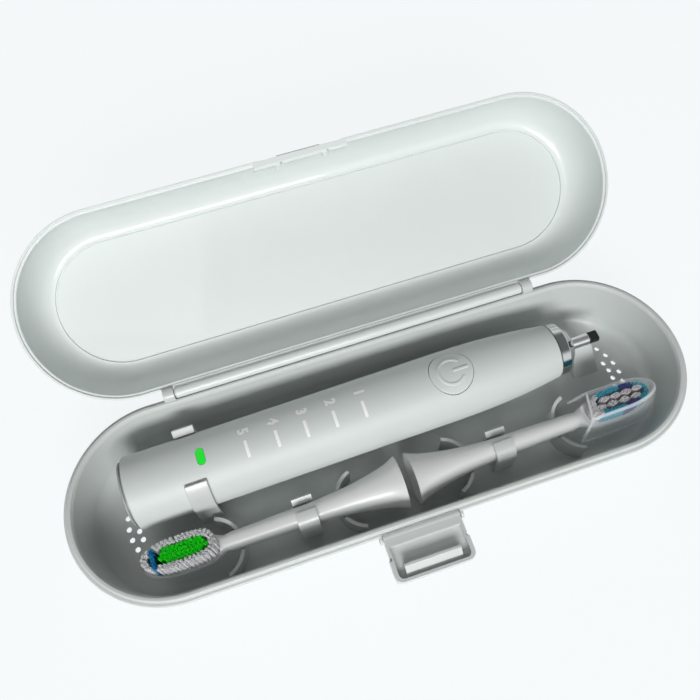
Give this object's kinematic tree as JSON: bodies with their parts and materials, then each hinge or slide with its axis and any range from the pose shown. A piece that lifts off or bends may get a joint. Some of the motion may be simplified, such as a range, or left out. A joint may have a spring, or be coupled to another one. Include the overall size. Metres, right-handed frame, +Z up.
{
  "type": "electric toothbrush travel case",
  "caption": "Open travel case holding a sonic toothbrush handle with its button and lamp, spare brush heads in a moulded nest, a clear head cover, a hinged lid and a front latch.",
  "frame": {"origin": "middle of the base's flat underside", "axes": "+X along the case towards the handle's drive shaft, +Y from the latch towards the lid's hinge, +Z up out of the open case"},
  "size_m": [0.2248, 0.1495, 0.0648],
  "materials": {
    "case_plastic": "white, satin to semi-gloss, injection moulded",
    "handle_plastic": "off-white, fine matte",
    "brush_plastic": "white, semi-gloss",
    "chrome": "polished",
    "steel": "fine turned",
    "seal_rubber": "matte",
    "lamp": "translucent green, lit",
    "board": "matte",
    "copper": "wound wire",
    "cell_wrap": "shrink wrap",
    "frame_plastic": "matte",
    "bristle_white": "nylon",
    "bristle_green": "nylon",
    "bristle_blue": "nylon",
    "bristle_grey": "nylon",
    "bristle_teal": "nylon",
    "bristle_navy": "nylon",
    "clear_plastic": "clear, polished"
  },
  "bodies": {
    "base": {"base_shell": "case_plastic", "handle_clip": "case_plastic", "neck_clip_a": "case_plastic", "neck_clip_b": "case_plastic"},
    "lid": {"lid_shell": "case_plastic"},
    "latch": {"latch_flap": "case_plastic"},
    "handle": {"handle_housing": "handle_plastic", "end_cap": "handle_plastic", "end_cap_gasket": "seal_rubber", "chrome_collar": "chrome", "shaft_seal": "seal_rubber", "drive_motor": "steel", "battery_cell": "cell_wrap", "circuit_board": "board", "button_switch": "steel", "charging_coil": "copper", "inner_frame": "frame_plastic", "led_lens": "lamp"},
    "button": {"power_button": "handle_plastic"},
    "shaft": {"drive_shaft": "steel"},
    "brush_a": {"brush_head_a": "brush_plastic", "shaft_coupling_a": "steel", "bristles_a_white": "bristle_white", "bristles_a_tip": "bristle_white", "bristles_a_blue": "bristle_blue", "bristles_a_green": "bristle_green"},
    "brush_b": {"brush_head_b": "brush_plastic", "shaft_coupling_b": "steel", "bristles_b_teal": "bristle_teal", "bristles_b_tip": "bristle_teal", "bristles_b_navy_rear": "bristle_navy", "bristles_b_navy_front": "bristle_navy", "bristles_b_grey": "bristle_grey"},
    "cap": {"travel_cap": "clear_plastic"}
  },
  "joints": [
    {"name": "lid_hinge", "type": "hinge", "parent": "base", "child": "lid", "pos_m": [0, 0.03603, 0.024], "axis": [-1, 0, 0], "range_deg": [-143.9, 0]},
    {"name": "latch_hinge", "type": "hinge", "parent": "base", "child": "latch", "pos_m": [0.0002, -0.03583, 0.0206], "axis": [1, 0, 0], "range_deg": [-90, 0]},
    {"name": "handle_lift", "type": "slide", "parent": "base", "child": "handle", "axis": [0, 0, 1], "range_m": [0, 0.04], "deforming": ["handle_clip"]},
    {"name": "brush_a_lift", "type": "slide", "parent": "base", "child": "brush_a", "axis": [0, 0, 1], "range_m": [0, 0.04], "deforming": ["neck_clip_a"]},
    {"name": "brush_b_lift", "type": "slide", "parent": "base", "child": "brush_b", "axis": [0, 0, 1], "range_m": [0, 0.04], "deforming": ["neck_clip_b"]},
    {"name": "cap_lift", "type": "slide", "parent": "brush_b", "child": "cap", "axis": [0, 0, 1], "range_m": [0, 0.04]},
    {"name": "button_press", "type": "slide", "parent": "handle", "child": "button", "axis": [0, 0, -1], "range_m": [0, 0.0004], "stiffness_N_per_m": 300},
    {"name": "shaft_swing", "type": "hinge", "parent": "handle", "child": "shaft", "pos_m": [0.07978, 0.01097, 0.017], "axis": [0.9998, 0.0218, 0], "range_deg": [-5, 5], "stiffness_Nm_per_rad": 0.0002}
  ]
}
